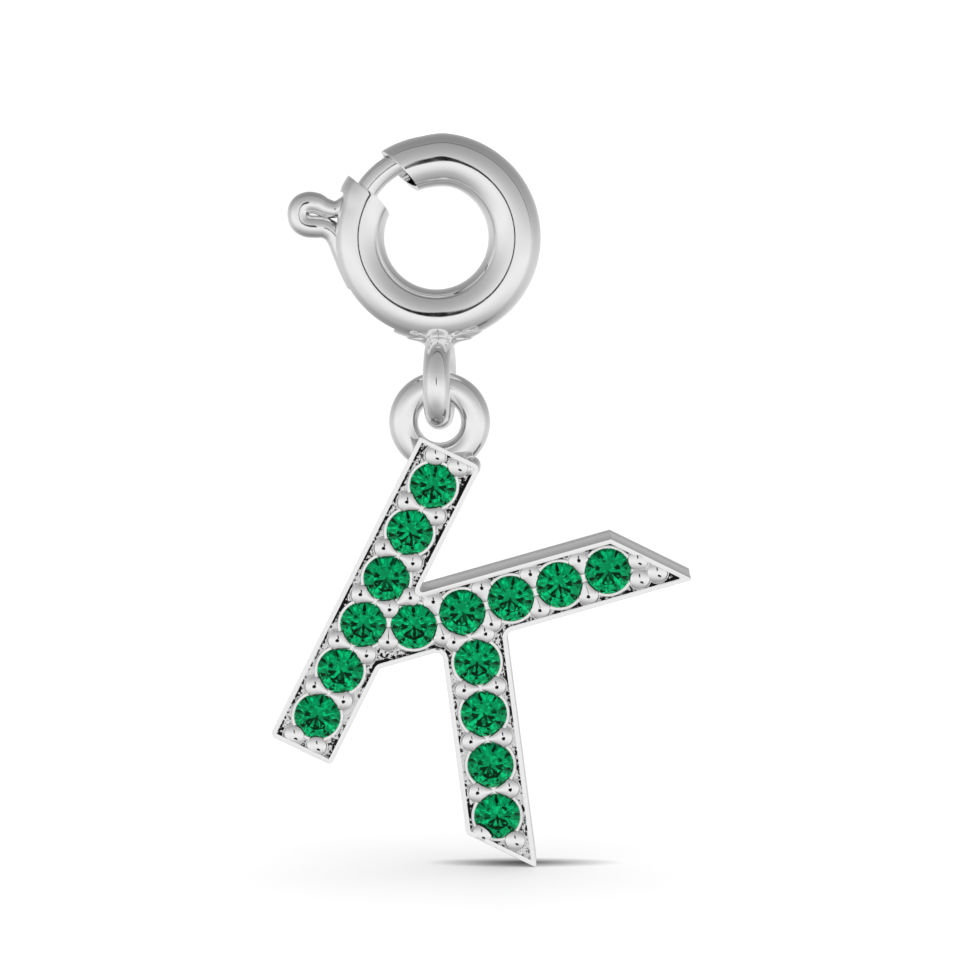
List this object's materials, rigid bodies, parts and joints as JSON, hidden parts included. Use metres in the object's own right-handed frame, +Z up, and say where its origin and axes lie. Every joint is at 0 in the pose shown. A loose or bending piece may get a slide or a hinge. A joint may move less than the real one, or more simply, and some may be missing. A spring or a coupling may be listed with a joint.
{
  "type": "initial pendant",
  "caption": "Silver letter K pendant set with a row of round green stones on a raised rim body, hung by a bail ring from the eye of a spring ring clasp.",
  "frame": {"origin": "top of the clasp ring's bore, in the ring's middle plane, where a chain or link bears", "axes": "+X to the viewer's right, +Z up towards the top of the clasp, the letter's face and the clasp's front look to -Y"},
  "size_m": [0.0121, 0.0033, 0.0213],
  "materials": {
    "polished_silver": "polished",
    "spring_wire": "polished",
    "cast_silver": "polished",
    "green_stone": "faceted"
  },
  "bodies": {
    "clasp": {"clasp_ring": "polished_silver"},
    "bolt": {"clasp_bolt": "spring_wire"},
    "letter": {"letter_frame": "cast_silver", "stone_01": "green_stone", "stone_02": "green_stone", "stone_03": "green_stone", "stone_04": "green_stone", "stone_05": "green_stone", "stone_06": "green_stone", "stone_07": "green_stone", "stone_08": "green_stone", "stone_09": "green_stone", "stone_10": "green_stone", "stone_11": "green_stone", "stone_12": "green_stone", "stone_13": "green_stone", "stone_14": "green_stone", "stone_15": "green_stone"}
  },
  "joints": [
    {"name": "bolt_slide", "type": "hinge", "parent": "clasp", "child": "bolt", "pos_m": [0, 0, -0.0015], "axis": [0, -1, 0], "range_deg": [0, 31], "stiffness_Nm_per_rad": 0.008},
    {"name": "letter_swing", "type": "hinge", "parent": "clasp", "child": "letter", "pos_m": [0.00009, 0, -0.00665], "axis": [0, -1, 0], "range_deg": [-60, 60]}
  ]
}
